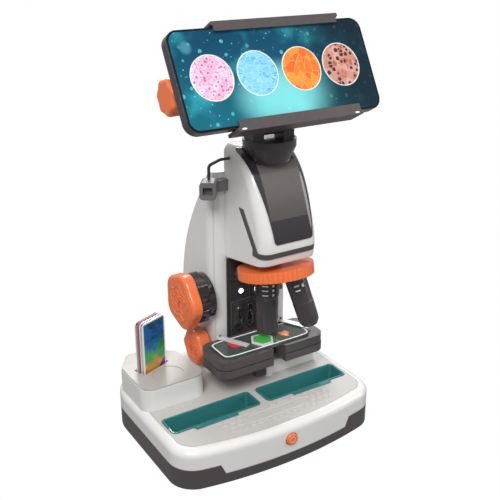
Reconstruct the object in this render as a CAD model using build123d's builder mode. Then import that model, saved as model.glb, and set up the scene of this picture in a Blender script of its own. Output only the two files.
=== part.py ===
from build123d import *
import math
import os

os.makedirs("parts", exist_ok=True)

# Toy microscope on a tray base, with a tilting clamp that holds a telephone over the head.
# Millimetres. Origin at the middle of the underside of the base, front towards -Y, +Z up.

# ---- driving dimensions -------------------------------------------------------------------
BASE_HALF_WIDTH = 93.0
BASE_FRONT = -75.0          # foremost point of the bowed front, at x = 0
BASE_BOW = 12.0             # how far the front ends lie behind its middle
BASE_REAR = 75.0
FRONT_CORNER = 22.0
REAR_CORNER = 40.0
DECK_Z = 34.0               # top of the deck
SKIRT_TOP = 18.0            # high part of the dark skirt
SKIRT_LOW = 9.5             # low part, in the front cut-away
CUT_HALF_WIDTH = 57.0
WALL = 2.2
FOOT = 1.0                  # how far the rubber feet stand below the skirt

TRAY_INNER_X = 3.0          # gap from the middle line to each tray
TRAY_OUTER_X = 84.0
TRAY_FRONT = -37.0
TRAY_REAR = -14.0
TRAY_DEPTH = 16.0

BODY_X = 26.0               # middle plane of the column, head and stage
COLUMN_HALF = 26.0
COLUMN_FRONT = 25.0
ARM_HALF = 38.0
ARM_TOP = 214.0

GLASS_Z = 71.0              # top of the stage glass
GLASS_X = 19.0              # middle of the stage glass
GLASS_HALF = 42.0
GLASS_FRONT = -14.0
GLASS_REAR = 14.0
OBJECTIVE_TIP_Z = 77.0

TURRET_TILT = 12.0
TURRET_Y = -12.0            # turret axis at the lower face of its disc
TURRET_Z = 133.0
TURRET_RADIUS = 31.0
TURRET_THICK = 8.5

HEAD_HALF = 26.0
HEAD_REAR = 25.0

KNOB_Y = 38.5
KNOB_Z = 104.0
KNOB_INNER_X = BODY_X - ARM_HALF - 0.6
FINE_Z = 58.0
SHAFT = 2.5

SWIVEL_Y = 0.0
SWIVEL_RIM_Z = 244.0
HINGE_Z = 252.0
HOLDER_TILT = 29.0

PHONE_X = 20.0
PHONE_LENGTH = 167.0
PHONE_WIDTH = 73.0
PHONE_THICK = 8.4
PHONE_Y = -19.0             # middle of the telephone
PHONE_Z = 295.5
JAW_X = 27.0
JAW_HALF = 55.0


def save(builder, name):
    builder.part.label = name
    export_step(builder.part, f"parts/{name}.step")


def base_outline(inset):
    """Plan of the base: bowed front, small front corners, large rear corners."""
    half = BASE_HALF_WIDTH - inset
    front_end = BASE_FRONT + BASE_BOW + inset
    rear = BASE_REAR - inset
    with BuildSketch(mode=Mode.PRIVATE) as plan:
        with BuildLine():
            bow = ThreePointArc((-half, front_end), (0, BASE_FRONT + inset), (half, front_end))
            Polyline(bow @ 1, (half, rear), (-half, rear), bow @ 0)
        make_face()
        fillet(plan.vertices().group_by(Axis.Y)[-1], REAR_CORNER - inset)
        fillet(plan.vertices().sort_by(Axis.Y)[:2], FRONT_CORNER - inset)
    return plan.sketch


def rounded_rect(x0, x1, y0, y1, radius):
    with BuildSketch(mode=Mode.PRIVATE) as plan:
        with Locations(((x0 + x1) / 2, (y0 + y1) / 2)):
            RectangleRounded(x1 - x0, y1 - y0, radius)
    return plan.sketch


def slab(outline, z0, z1, mode=Mode.ADD, taper=0):
    """Extrude a private plan sketch between two heights."""
    with BuildSketch(Plane.XY.offset(z0)) as level:
        add(outline)
    extrude(level.sketch, amount=z1 - z0, mode=mode, taper=taper)


def tray_span(side):
    return sorted((side * TRAY_INNER_X, side * TRAY_OUTER_X))


# ---- base ---------------------------------------------------------------------------------
def front_cut(z0, z1):
    """Outline of the cut-away in the front of the skirt, with sloping ends."""
    with BuildSketch(Plane.XZ.offset(-BASE_FRONT + 1), mode=Mode.PRIVATE) as cut:
        with BuildLine():
            Polyline((-CUT_HALF_WIDTH, z0), (CUT_HALF_WIDTH, z0),
                     (CUT_HALF_WIDTH + 4, z1), (-CUT_HALF_WIDTH - 4, z1), close=True)
        make_face()
    return cut.sketch


SCREW_PLACES = [(x, y, FOOT) for x in (-70, 70) for y in (-44, 48)]

with BuildPart() as base_skirt:
    slab(base_outline(0), FOOT, SKIRT_TOP)
    slab(base_outline(WALL), FOOT + WALL, SKIRT_TOP, Mode.SUBTRACT)
    extrude(front_cut(SKIRT_LOW, SKIRT_TOP), amount=-30, mode=Mode.SUBTRACT)
    slab(rounded_rect(-33, 33, 6, 54, 3), FOOT, FOOT + WALL, Mode.SUBTRACT)
    with Locations(*SCREW_PLACES):
        Cylinder(1.6, 12, mode=Mode.SUBTRACT)
save(base_skirt, "base_skirt")

with BuildPart() as base_shell:
    slab(base_outline(0), SKIRT_TOP, DECK_Z)
    fillet(base_shell.edges().group_by(Axis.Z)[-1], 6)
    extrude(front_cut(SKIRT_LOW, SKIRT_TOP), amount=-30)
    slab(base_outline(0), SKIRT_LOW, DECK_Z, Mode.INTERSECT)
    slab(base_outline(WALL), SKIRT_LOW, DECK_Z - WALL, Mode.SUBTRACT)
    for side in (-1, 1):
        x0, x1 = tray_span(side)
        slab(rounded_rect(x0, x1, TRAY_FRONT, TRAY_REAR, 4), DECK_Z - WALL - 1, DECK_Z, Mode.SUBTRACT)
    slab(base_outline(7), DECK_Z - 1.0, DECK_Z, Mode.SUBTRACT)
    with Locations(Plane.XZ.offset(-BASE_FRONT - 10) * Pos(0, 22, 0)):
        Cylinder(5.4, 30, mode=Mode.SUBTRACT)
save(base_shell, "base_shell")

with BuildPart() as deck_plate:
    slab(base_outline(7.2), DECK_Z - 1.0, DECK_Z)
    for side in (-1, 1):
        x0, x1 = tray_span(side)
        slab(rounded_rect(x0, x1, TRAY_FRONT, TRAY_REAR, 4), DECK_Z - 1, DECK_Z, Mode.SUBTRACT)
        tab_x = side * 46
        slab(rounded_rect(tab_x - 20, tab_x + 20, TRAY_FRONT - 3.4, TRAY_FRONT + 3, 1.5),
             DECK_Z - 0.5, DECK_Z, Mode.SUBTRACT)
save(deck_plate, "deck_plate")

for side, tray_name in ((-1, "tray_left"), (1, "tray_right")):
    x0, x1 = tray_span(side)
    gap = 0.4
    with BuildPart() as tray:
        slab(rounded_rect(x0 + gap, x1 - gap, TRAY_FRONT + gap, TRAY_REAR - gap, 3.6),
             DECK_Z - TRAY_DEPTH, DECK_Z + 0.6)
        slab(rounded_rect(x0 + gap + 1.4, x1 - gap - 1.4, TRAY_FRONT + gap + 1.4, TRAY_REAR - gap - 1.4, 2.4),
             DECK_Z - TRAY_DEPTH + 1.4, DECK_Z + 0.6, Mode.SUBTRACT)
        tab_x = side * 46
        slab(rounded_rect(tab_x - 19, tab_x + 19, TRAY_FRONT - 3, TRAY_FRONT + gap + 1.2, 1),
             DECK_Z - 0.2, DECK_Z + 0.6)
    save(tray, tray_name)

with BuildPart() as rubber_feet:
    with Locations((0, -3, 0), *[(x, y, 0) for x in (-78, 78) for y in (-50, 52)]):
        Cylinder(6, FOOT, align=(Align.CENTER, Align.CENTER, Align.MIN))
save(rubber_feet, "rubber_feet")

with BuildPart() as battery_box:
    slab(rounded_rect(-31, 31, 9, 51, 2), FOOT + WALL, 19)
    slab(rounded_rect(-29.5, 29.5, 10.5, 49.5, 1.5), FOOT + WALL, 17.5, Mode.SUBTRACT)
save(battery_box, "battery_box")

with BuildPart() as battery_cells:
    with Locations(*[Location((0, 18 + 12 * i, 10.4), (0, 90, 0)) for i in range(3)]):
        Cylinder(5.6, 50)
save(battery_cells, "battery_cells")

with BuildPart() as battery_door:
    slab(rounded_rect(-32.7, 32.7, 6.3, 53.7, 2.8), FOOT, FOOT + WALL)
save(battery_door, "battery_door")

with BuildPart() as circuit_board:
    slab(rounded_rect(-30, 30, -62, -42, 1), 12, 13.6)
    with Locations((0, -60.0, 13.6)):
        Box(7, 4, 7, align=(Align.CENTER, Align.CENTER, Align.MIN))
save(circuit_board, "circuit_board")

with BuildPart() as base_screws:
    with Locations(*SCREW_PLACES):
        Cylinder(1.5, 8, align=(Align.CENTER, Align.CENTER, Align.MIN))
save(base_screws, "base_screws")

BUTTON_Z = 22.0
with BuildPart() as power_button:
    with Locations(Plane.XZ.offset(-BASE_FRONT - 0.8) * Pos(0, BUTTON_Z, 0)):
        Cylinder(5.0, 2.4, align=(Align.CENTER, Align.CENTER, Align.MIN))
        Cylinder(2.2, 9, align=(Align.CENTER, Align.CENTER, Align.MAX))
    fillet(power_button.edges().group_by(Axis.Y)[0], 1.0)
save(power_button, "power_button")

# ---- card box -----------------------------------------------------------------------------
CARD_TOP_Z = 54.5
CARD_X = -67.0
CARD_Y = 34.0
CARD_TURN = 21.0


def card_box_plan(inset):
    with BuildSketch(mode=Mode.PRIVATE) as plan:
        with BuildLine():
            Polyline((-90, -1), (-32, -1), (-38, 46), (-56, 62), (-78, 62), (-90, 44), close=True)
        make_face()
        fillet(plan.vertices().sort_by(Axis.Y)[:2], 11)
        fillet(plan.vertices().group_by(Axis.Y)[-1], 6)
        if inset:
            offset(amount=-inset, mode=Mode.REPLACE)
    return plan.sketch


with BuildPart() as card_box:
    slab(card_box_plan(0), DECK_Z, CARD_TOP_Z - 1.2)
    slab(card_box_plan(WALL), DECK_Z, CARD_TOP_Z - 1.2, Mode.SUBTRACT)
save(card_box, "card_box")

CARD_ACROSS = (math.cos(math.radians(CARD_TURN)), math.sin(math.radians(CARD_TURN)), 0)
CARD_FACING = (CARD_ACROSS[1], -CARD_ACROSS[0], 0)
slot_plane = Plane(origin=(CARD_X, CARD_Y, CARD_TOP_Z - 1.2), x_dir=CARD_ACROSS, z_dir=(0, 0, 1))
card_plane = Plane(origin=(CARD_X, CARD_Y, 0), x_dir=CARD_ACROSS, z_dir=CARD_FACING)
with BuildPart() as card_box_lid:
    slab(card_box_plan(0.4), CARD_TOP_Z - 1.2, CARD_TOP_Z)
    with BuildSketch(slot_plane):
        RectangleRounded(29, 12, 1)
    extrude(amount=2, mode=Mode.SUBTRACT)
    with Locations((-61, 15, CARD_TOP_Z)):
        Cylinder(13, 0.5, align=(Align.CENTER, Align.CENTER, Align.MAX), mode=Mode.SUBTRACT)
save(card_box_lid, "card_box_lid")

CARD_BOTTOM = 37.0
for index in range(4):
    with BuildPart() as card:
        with BuildSketch(card_plane.offset(3.6 - 2.6 * index)):
            with Locations((0, CARD_BOTTOM + 31)):
                RectangleRounded(26, 62, 4)
        extrude(amount=0.8)
    save(card, f"card_{index + 1}")

# ---- column and arm -----------------------------------------------------------------------
ARM_X0 = BODY_X - ARM_HALF
ARM_X1 = BODY_X + ARM_HALF
PINION_PITCH = 5.0
PINION_TEETH = 10
RACK_PITCH_Y = KNOB_Y - PINION_PITCH


def arm_side(inset):
    """Side view of the arm, in Y and Z: straight front, rear that swells and then leans in."""
    points = [(70 - inset, DECK_Z + inset), (78 - inset, 78), (78 - inset, 112), (64 - inset, 160), (45 - inset, 192)]
    if inset == 0:
        points.append((31, ARM_TOP))
    top = points[-1][1]
    with BuildSketch(Plane.YZ, mode=Mode.PRIVATE) as side:
        with BuildLine():
            rear = Spline(*points)
            Polyline(rear @ 1, (COLUMN_FRONT + inset, top), (COLUMN_FRONT + inset, DECK_Z + inset), rear @ 0)
        make_face()
    return side.sketch


with BuildPart(mode=Mode.PRIVATE) as arm_block:
    extrude(arm_side(0).moved(Location((ARM_X0, 0, 0))), amount=2 * ARM_HALF)
    upright = arm_block.edges().filter_by(Axis.Z)
    fillet(upright.group_by(Axis.Y)[0], 11)
    slab(rounded_rect(ARM_X0 - 6, ARM_X1 + 6, COLUMN_FRONT - 1, 71, 14), DECK_Z, DECK_Z + 4)
    extrude(arm_side(WALL + 1.2).moved(Location((ARM_X0 + WALL + 1, 0, 0))),
            amount=2 * (ARM_HALF - WALL - 1), mode=Mode.SUBTRACT)
    with Locations((BODY_X, COLUMN_FRONT, 93)):
        Box(2 * COLUMN_HALF - 2, 3, 92, mode=Mode.SUBTRACT)
    with Locations((BODY_X, COLUMN_FRONT, 95)):
        Box(3.2, 20, 70, mode=Mode.SUBTRACT)
    with Locations(Location((ARM_X0, KNOB_Y, KNOB_Z), (0, 90, 0)), Location((ARM_X1, KNOB_Y, KNOB_Z), (0, 90, 0))):
        Cylinder(SHAFT + 0.06, 12, mode=Mode.SUBTRACT)
    with Locations(Location((ARM_X0, KNOB_Y, FINE_Z), (0, 90, 0))):
        Cylinder(SHAFT + 0.06, 12, mode=Mode.SUBTRACT)

for name, far_side in (("arm_left_shell", BODY_X + 40), ("arm_right_shell", BODY_X - 40)):
    with BuildPart() as shell:
        add(arm_block.part)
        with Locations((far_side, 40, 120)):
            Box(80, 200, 300, mode=Mode.SUBTRACT)
    save(shell, name)

with BuildPart() as column_panel:
    with Locations((BODY_X, COLUMN_FRONT + 0.5, 93)):
        Box(2 * COLUMN_HALF - 2.4, 1.9, 91.6)
    with Locations((BODY_X, COLUMN_FRONT, 95)):
        Box(3.2, 20, 70, mode=Mode.SUBTRACT)
    with Locations((BODY_X - 12, COLUMN_FRONT - 0.9, 119.5)):
        Box(22, 1.0, 1.2)
save(column_panel, "column_panel")

with BuildPart() as column_rail:
    with Locations((BODY_X, COLUMN_FRONT - 1.6, 134)):
        Box(4.4, 2.2, 8)
        Box(3.0, 2.2, 8)
save(column_rail, "column_rail")

LAMP_PLANE = Plane(origin=(13, 17.5, 121), x_dir=(1, 0, 0), z_dir=(0.2, -0.55, -0.8))
with BuildPart() as lamp_pod:
    with Locations(LAMP_PLANE.location):
        Cylinder(4.6, 8, align=(Align.CENTER, Align.CENTER, Align.MAX))
        Cylinder(3.4, 2, align=(Align.CENTER, Align.CENTER, Align.MAX), mode=Mode.SUBTRACT)
    with Locations((12, 21.8, 126)):
        Box(5, 5.5, 6)
    with Locations((12, COLUMN_FRONT + 3, 124)):
        Box(30, 6.9, 40, mode=Mode.SUBTRACT)
save(lamp_pod, "lamp_pod")

with BuildPart() as lamp_lens:
    with Locations(LAMP_PLANE.location):
        Cylinder(3.3, 1.9, align=(Align.CENTER, Align.CENTER, Align.MAX))
save(lamp_lens, "lamp_lens")

# ---- light block under the stage ----------------------------------------------------------
with BuildPart() as light_block:
    slab(rounded_rect(19, 77, -1, COLUMN_FRONT - 1.2, 4), DECK_Z, 46.5)
    slab(rounded_rect(21.5, 30.5, -4, 9, 3), DECK_Z, 59)
save(light_block, "light_block")

with BuildPart() as light_lens:
    with Locations((BODY_X, 2.4, 59)):
        Cylinder(3.8, 1.6, align=(Align.CENTER, Align.CENTER, Align.MIN))
    fillet(light_lens.edges().group_by(Axis.Z)[-1], 1.2)
save(light_lens, "light_lens")

# ---- focus knobs --------------------------------------------------------------------------


def lobed(radius, depth, lobes):
    """Round outline whose radius swells and shrinks smoothly around the rim."""
    points = []
    for step in range(lobes * 8):
        angle = 2 * math.pi * step / (lobes * 8)
        reach = radius - depth / 2 + depth / 2 * math.cos(lobes * angle)
        points.append((reach * math.cos(angle), reach * math.sin(angle)))
    with BuildSketch(mode=Mode.PRIVATE) as plan:
        with BuildLine():
            Spline(*points, periodic=True)
        make_face()
    return plan.sketch


def knob_plane(x, z):
    """Plane across a knob's axis, facing out of the left side."""
    return Plane(origin=(x, KNOB_Y, z), x_dir=(0, -1, 0), z_dir=(-1, 0, 0))


def disc_on(plane, outline, start, end, mode=Mode.ADD):
    with BuildSketch(plane.offset(start)) as level:
        add(outline)
    extrude(level.sketch, amount=end - start, mode=mode)


def ring(radius):
    with BuildSketch(mode=Mode.PRIVATE) as plan:
        Circle(radius)
    return plan.sketch


KNOB_FACE = knob_plane(ARM_X0 - 0.6, KNOB_Z)
with BuildPart() as focus_drum:
    disc_on(KNOB_FACE, ring(20.5), 0, 5)
    disc_on(KNOB_FACE, lobed(22, 2.4, 7), 5, 15.5)
    disc_on(KNOB_FACE, ring(SHAFT + 0.02), 0, 15.5, Mode.SUBTRACT)
save(focus_drum, "focus_drum")

with BuildPart() as focus_cap:
    disc_on(KNOB_FACE, lobed(24.8, 2.4, 5), 15.5, 25)
    fillet(focus_cap.edges().group_by(Axis.X)[0], 3.5)
save(focus_cap, "focus_cap")

with BuildPart() as focus_shaft:
    disc_on(KNOB_FACE, ring(SHAFT), -2 * ARM_HALF - 2, 15.5)
save(focus_shaft, "focus_shaft")


def pinion_outline():
    """Ten straight-sided teeth, slimmer than their gaps, around a root circle."""
    with BuildSketch(mode=Mode.PRIVATE) as tooth:
        with BuildLine():
            Polyline((3.4, -0.95), (PINION_PITCH, -0.62), (5.8, -0.28),
                     (5.8, 0.28), (PINION_PITCH, 0.62), (3.4, 0.95), close=True)
        make_face()
    with BuildSketch(mode=Mode.PRIVATE) as plan:
        Circle(3.75)
        with PolarLocations(0, PINION_TEETH):
            add(tooth.sketch)
        Circle(SHAFT + 0.02, mode=Mode.SUBTRACT)
    return plan.sketch


PINION_HALF = 4.0
with BuildPart() as focus_pinion:
    disc_on(knob_plane(BODY_X + PINION_HALF, KNOB_Z), pinion_outline(), 0, 2 * PINION_HALF)
save(focus_pinion, "focus_pinion")

FINE_FACE = knob_plane(ARM_X0 - 0.6, FINE_Z)
with BuildPart() as fine_knob:
    disc_on(FINE_FACE, ring(12), 0, 3)
    disc_on(FINE_FACE, lobed(16.6, 1.6, 6), 3, 14)
    fillet(fine_knob.edges().group_by(Axis.X)[0], 3)
    disc_on(FINE_FACE, ring(SHAFT), -16, 0)
    disc_on(FINE_FACE, ring(5), -16, -12)
save(fine_knob, "fine_knob")

# ---- stage --------------------------------------------------------------------------------
STAGE_X0 = BODY_X - 56
CLIP_LEFT_X = BODY_X - 36
CLIP_RIGHT_X = BODY_X + 26
STAGE_X1 = BODY_X + 48
STAGE_FRONT = -19.0
STAGE_REAR = 20.8
RACK_TOOTH_PITCH = 2 * math.pi * PINION_PITCH / PINION_TEETH


def stage_layer(z0, z1, inset):
    outline = rounded_rect(STAGE_X0 + inset, STAGE_X1 - inset, STAGE_FRONT + inset, STAGE_REAR - inset, 10 - inset)
    slab(outline, z0, z1)


with BuildPart() as stage_top:
    stage_layer(54, 60.5, 0)
    stage_layer(60.5, 61.5, 1.6)
    stage_layer(61.5, 69, 0.4)
    slab(rounded_rect(BODY_X - 6, BODY_X + 6, STAGE_FRONT - 5, 12, 5), 50, 70, Mode.SUBTRACT)
    slab(rounded_rect(GLASS_X - GLASS_HALF - 0.3, GLASS_X + GLASS_HALF + 0.3, GLASS_FRONT - 0.3, GLASS_REAR + 0.3, 5),
         67.8, 69, Mode.SUBTRACT)
    slab(rounded_rect(-16, -3, -3, 9, 2), 42, 54)
    slab(rounded_rect(8, 18.5, -11.5, -3, 2), 42, 54)
save(stage_top, "stage_top")

with BuildPart() as clip_pins:
    with Locations((CLIP_LEFT_X, 17.4, 69), (CLIP_RIGHT_X, 17.4, 69)):
        Cylinder(1.5, 6.5, align=(Align.CENTER, Align.CENTER, Align.MIN))
        Cylinder(2.5, 2.4, align=(Align.CENTER, Align.CENTER, Align.MIN))
save(clip_pins, "clip_pins")

with BuildPart() as stage_glass:
    slab(rounded_rect(GLASS_X - GLASS_HALF, GLASS_X + GLASS_HALF, GLASS_FRONT, GLASS_REAR, 5), 67.8, GLASS_Z)
save(stage_glass, "stage_glass")

for clip_x, clip_name in ((CLIP_LEFT_X, "clip_left"), (CLIP_RIGHT_X, "clip_right")):
    pivot = (clip_x, 17.4)
    with BuildPart() as clip:
        with BuildSketch(Plane.XY.offset(71.6)):
            with Locations(pivot):
                Circle(3.4)
            with Locations(Location((pivot[0], pivot[1], 0), (0, 0, -62))):
                with Locations((13, 0)):
                    Rectangle(28, 5.6)
            with Locations(pivot):
                Circle(1.56, mode=Mode.SUBTRACT)
        extrude(amount=0.8)
    save(clip, clip_name)

with BuildPart() as specimen_hex:
    with BuildSketch(Plane.XY.offset(GLASS_Z)):
        with Locations((18, -4)):
            RegularPolygon(10.5, 6)
    extrude(amount=1.6)
save(specimen_hex, "specimen_hex")

with BuildPart() as specimen_disc:
    with Locations((-4, 3, GLASS_Z)):
        Cylinder(6.5, 0.5, align=(Align.CENTER, Align.CENTER, Align.MIN))
save(specimen_disc, "specimen_disc")

with BuildPart() as stage_carriage:
    with Locations((BODY_X, 22.4, 77)):
        Box(46, 3.2, 46)
    with Locations((BODY_X, 26.6, 84)):
        Box(2.4, 6.4, 30)
    rib_places = [(BODY_X + offset_x, 21.4, 88) for offset_x in (-17, -6, 6, 17)]
    with Locations(*rib_places):
        Box(8.4, 5, 21)
save(stage_carriage, "stage_carriage")

with BuildPart() as carriage_screws:
    for x, y, z in rib_places:
        with Locations(Location((x, 18.9, 94), (90, 0, 0))):
            Cylinder(1.9, 1.2, align=(Align.CENTER, Align.CENTER, Align.MIN))
save(carriage_screws, "carriage_screws")

with BuildPart() as focus_rack:
    with Locations((BODY_X, (29.8 + RACK_PITCH_Y - 1) / 2, 103)):
        Box(7, RACK_PITCH_Y - 1 - 29.8, 30)
    for step in range(-4, 5):
        with BuildSketch(Plane.YZ.offset(BODY_X - 3.5)) as tooth:
            with BuildLine():
                z = KNOB_Z + (step + 0.5) * RACK_TOOTH_PITCH
                Polyline((RACK_PITCH_Y - 1.2, z - 0.95), (RACK_PITCH_Y, z - 0.6), (RACK_PITCH_Y + 0.8, z - 0.3),
                         (RACK_PITCH_Y + 0.8, z + 0.3), (RACK_PITCH_Y, z + 0.6), (RACK_PITCH_Y - 1.2, z + 0.95),
                         close=True)
            make_face()
        extrude(amount=7)
save(focus_rack, "focus_rack")

# ---- head ---------------------------------------------------------------------------------
HEAD_X0 = BODY_X - HEAD_HALF
COLLAR = 4.6
TUBE = 5.6
TUBE_Y = 1.7


def head_side(inset):
    """Side view of the head: sloping underside, front that bulges low and leans back."""
    points = [(-31 + inset, 151 + inset), (-32.5 + inset, 163), (-28 + inset, 184), (-21 + inset, 202)]
    if inset == 0:
        points.extend([(-11, 220), (2, 232), (14, 237)])
    else:
        points.append((-12.5 + inset, 214))
    top = points[-1][1]
    with BuildSketch(Plane.YZ, mode=Mode.PRIVATE) as side:
        with BuildLine():
            front = Spline(*points)
            Polyline(front @ 1, (HEAD_REAR - inset, top), (HEAD_REAR - inset, 141.5 + inset), front @ 0)
        make_face()
    return side.sketch


def head_solid(shrink, corner):
    with BuildPart(mode=Mode.PRIVATE) as block:
        extrude(head_side(shrink).moved(Location((HEAD_X0 + shrink, 0, 0))), amount=2 * (HEAD_HALF - shrink))
        sides = block.faces().filter_by(Axis.X)
        edges = [edge for face in sides for edge in face.edges() if edge.geom_type != GeomType.LINE]
        fillet(edges, corner)
    return block.part


TURRET_PLANE = Plane(origin=(BODY_X, TURRET_Y, TURRET_Z), x_dir=(1, 0, 0),
                     z_dir=(0, math.sin(math.radians(TURRET_TILT)), math.cos(math.radians(TURRET_TILT))))


def cup_profile(grow):
    with BuildSketch(Plane.XZ.offset(-SWIVEL_Y), mode=Mode.PRIVATE) as half:
        with BuildLine():
            Polyline((BODY_X, 226.5 - grow), (BODY_X + 16 + grow, 226.5 - grow), (BODY_X + 21 + grow, 238),
                     (BODY_X + 21 + grow, SWIVEL_RIM_Z + grow * 4), (BODY_X, SWIVEL_RIM_Z + grow * 4), close=True)
        make_face()
    return half.sketch


SWIVEL_AXIS = Axis((BODY_X, SWIVEL_Y, 0), (0, 0, 1))

with BuildPart() as head_shell:
    add(head_solid(0, 8))
    add(head_solid(WALL, 6), mode=Mode.SUBTRACT)
    revolve(cup_profile(0.5), axis=SWIVEL_AXIS, mode=Mode.SUBTRACT)
    with Locations((BODY_X, SWIVEL_Y, 220)):
        Cylinder(5.06, 16, mode=Mode.SUBTRACT)
    with Locations(TURRET_PLANE.location):
        Cylinder(COLLAR + 0.03, 17, align=(Align.CENTER, Align.CENTER, Align.MIN), mode=Mode.SUBTRACT)
    with Locations((BODY_X, TUBE_Y, 140)):
        Cylinder(TUBE + 0.03, 12, align=(Align.CENTER, Align.CENTER, Align.MIN), mode=Mode.SUBTRACT)
save(head_shell, "head_shell")


def front_prism(points, corner):
    """Prism through the head from its front, cut to an outline in X and Z."""
    with BuildSketch(Plane.XZ.offset(45), mode=Mode.PRIVATE) as plan:
        with BuildLine():
            Polyline(*points, close=True)
        make_face()
        fillet(plan.vertices(), corner)
    return plan.sketch


def head_skin(shift):
    """Thin skin left by moving the head's outer form and taking the head away."""
    with BuildPart(mode=Mode.PRIVATE) as skin:
        add(head_solid(0, 8).moved(Location(shift)))
        add(head_solid(0, 8), mode=Mode.SUBTRACT)
    return skin.part


WINDOW_PLAN = [(BODY_X - 15, 168), (BODY_X + 20, 168), (BODY_X + 24, 200), (BODY_X + 24, 236),
               (BODY_X - 24, 236), (BODY_X - 21, 212), (BODY_X - 17.5, 190)]
with BuildPart(mode=Mode.PRIVATE) as window_reach:
    extrude(front_prism(WINDOW_PLAN, 3), amount=-60)

with BuildPart() as head_window:
    add(head_solid(0, 8).moved(Location((0, -0.8, 0))))
    add(window_reach.part, mode=Mode.INTERSECT)
    add(head_solid(0, 8), mode=Mode.SUBTRACT)
    revolve(cup_profile(0.5), axis=SWIVEL_AXIS, mode=Mode.SUBTRACT)
save(head_window, "head_window")

with BuildPart(mode=Mode.PRIVATE) as band_reach:
    extrude(front_prism([(-8, 157.5), (60, 157.5), (60, 161.5), (-8, 161.5)], 0.5), amount=-27)
    with BuildSketch(Plane.YZ.offset(-4)):
        with BuildLine():
            Polyline((-40, 157.5), (-22, 157.5), (2, 191), (-4, 191), (-25, 161.5), (-40, 161.5), close=True)
        make_face()
    extrude(amount=14)

with BuildPart() as head_band:
    add(head_skin((-0.7, -0.7, 0)))
    add(band_reach.part, mode=Mode.INTERSECT)
save(head_band, "head_band")

with BuildPart() as camera_tube:
    with Locations((BODY_X, TUBE_Y, 141.5)):
        Cylinder(TUBE, 58, align=(Align.CENTER, Align.CENTER, Align.MIN))
        Cylinder(TUBE - 1, 58, align=(Align.CENTER, Align.CENTER, Align.MIN), mode=Mode.SUBTRACT)
save(camera_tube, "camera_tube")

# ---- turret -------------------------------------------------------------------------------
PORT_RADIUS = 14.0
with BuildPart() as turret_spindle:
    with Locations(TURRET_PLANE.location):
        with Locations((0, 0, TURRET_THICK + 0.4)):
            Cylinder(COLLAR, 7, align=(Align.CENTER, Align.CENTER, Align.MIN))
        with Locations((0, 0, 0.5)):
            Cylinder(3.0, TURRET_THICK, align=(Align.CENTER, Align.CENTER, Align.MIN))
save(turret_spindle, "turret_spindle")

with BuildPart() as turret_disc:
    with BuildSketch(TURRET_PLANE) as plate:
        Circle(TURRET_RADIUS)
        with PolarLocations(TURRET_RADIUS + 0.25, 48):
            Circle(0.8, mode=Mode.SUBTRACT)
        Circle(3.06, mode=Mode.SUBTRACT)
    extrude(amount=TURRET_THICK)
    with BuildSketch(TURRET_PLANE):
        with Locations((24 * math.cos(math.radians(52)), 24 * math.sin(math.radians(52)))):
            Rectangle(6, 3, rotation=52)
    extrude(amount=-18)
save(turret_disc, "turret_disc")


def objective(name, angle, length, stages):
    """Barrel hung from a port of the turret, leaning out by the turret's own tilt."""
    turn = math.radians(angle)
    tilt = math.radians(TURRET_TILT)
    lean = Vector(math.sin(tilt) * math.cos(turn), math.sin(tilt) * math.sin(turn), -math.cos(tilt))
    port = Vector(PORT_RADIUS * math.cos(turn), PORT_RADIUS * math.sin(turn), -0.02)
    origin = TURRET_PLANE.from_local_coords(port)
    tip = TURRET_PLANE.from_local_coords(port + lean)
    direction = tip - origin
    plane = Plane(origin=origin, z_dir=direction)
    with BuildPart() as barrel:
        with BuildSketch(Plane(origin=origin, x_dir=plane.x_dir, z_dir=plane.y_dir)) as profile:
            with BuildLine():
                points = [(0, 0)]
                for radius, reach in stages:
                    points.append((radius, reach * length))
                points.append((0, length))
                Polyline(*[(x, -y) for x, y in points], close=True)
            make_face()
        revolve(axis=Axis(origin, direction))
        add(turret_disc.part, mode=Mode.SUBTRACT)
    save(barrel, name)


objective("objective_near", 90, TURRET_Z - 3 - OBJECTIVE_TIP_Z,
          [(10.7, 0), (10.5, 0.36), (9.9, 0.42), (9.6, 0.97), (8.6, 1.0)])
objective("objective_wide", -30, 46, [(8.6, 0), (8.6, 0.1), (9.0, 0.12), (8.2, 0.92), (6.0, 1.0)])

# ---- swivel, holder and telephone -----------------------------------------------------------
with BuildPart() as swivel_cup:
    revolve(cup_profile(0), axis=SWIVEL_AXIS)
    with Locations((BODY_X, SWIVEL_Y, 213)):
        Cylinder(5.0, 14, align=(Align.CENTER, Align.CENTER, Align.MIN))
    with Locations((BODY_X - 13.9, SWIVEL_Y, HINGE_Z - 2), (BODY_X + 13.9, SWIVEL_Y, HINGE_Z - 2)):
        Box(9.8, 13, 15)
    with Locations(Location((BODY_X, SWIVEL_Y, HINGE_Z), (0, 90, 0))):
        Cylinder(2.5, 36)
save(swivel_cup, "swivel_cup")

HOLD = math.radians(HOLDER_TILT)
HOLD_UP = (0, math.sin(HOLD), math.cos(HOLD))
HOLD_OUT = (0, -math.cos(HOLD), math.sin(HOLD))
PHONE_BACK = PHONE_THICK / 2
HOLD_PLANE = Plane(origin=(0, PHONE_Y + PHONE_BACK * math.cos(HOLD), PHONE_Z - PHONE_BACK * math.sin(HOLD)),
                   x_dir=(1, 0, 0), z_dir=HOLD_OUT)
HALF_W = PHONE_WIDTH / 2


def hold_slab(outline, z0, z1, mode=Mode.ADD):
    with BuildSketch(HOLD_PLANE.offset(z0)) as level:
        add(outline)
    extrude(level.sketch, amount=z1 - z0, mode=mode)


def ellipse_at(x, y, half_x, half_y):
    with BuildSketch(mode=Mode.PRIVATE) as plan:
        with Locations((x, y)):
            Ellipse(half_x, half_y)
    return plan.sketch


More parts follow.
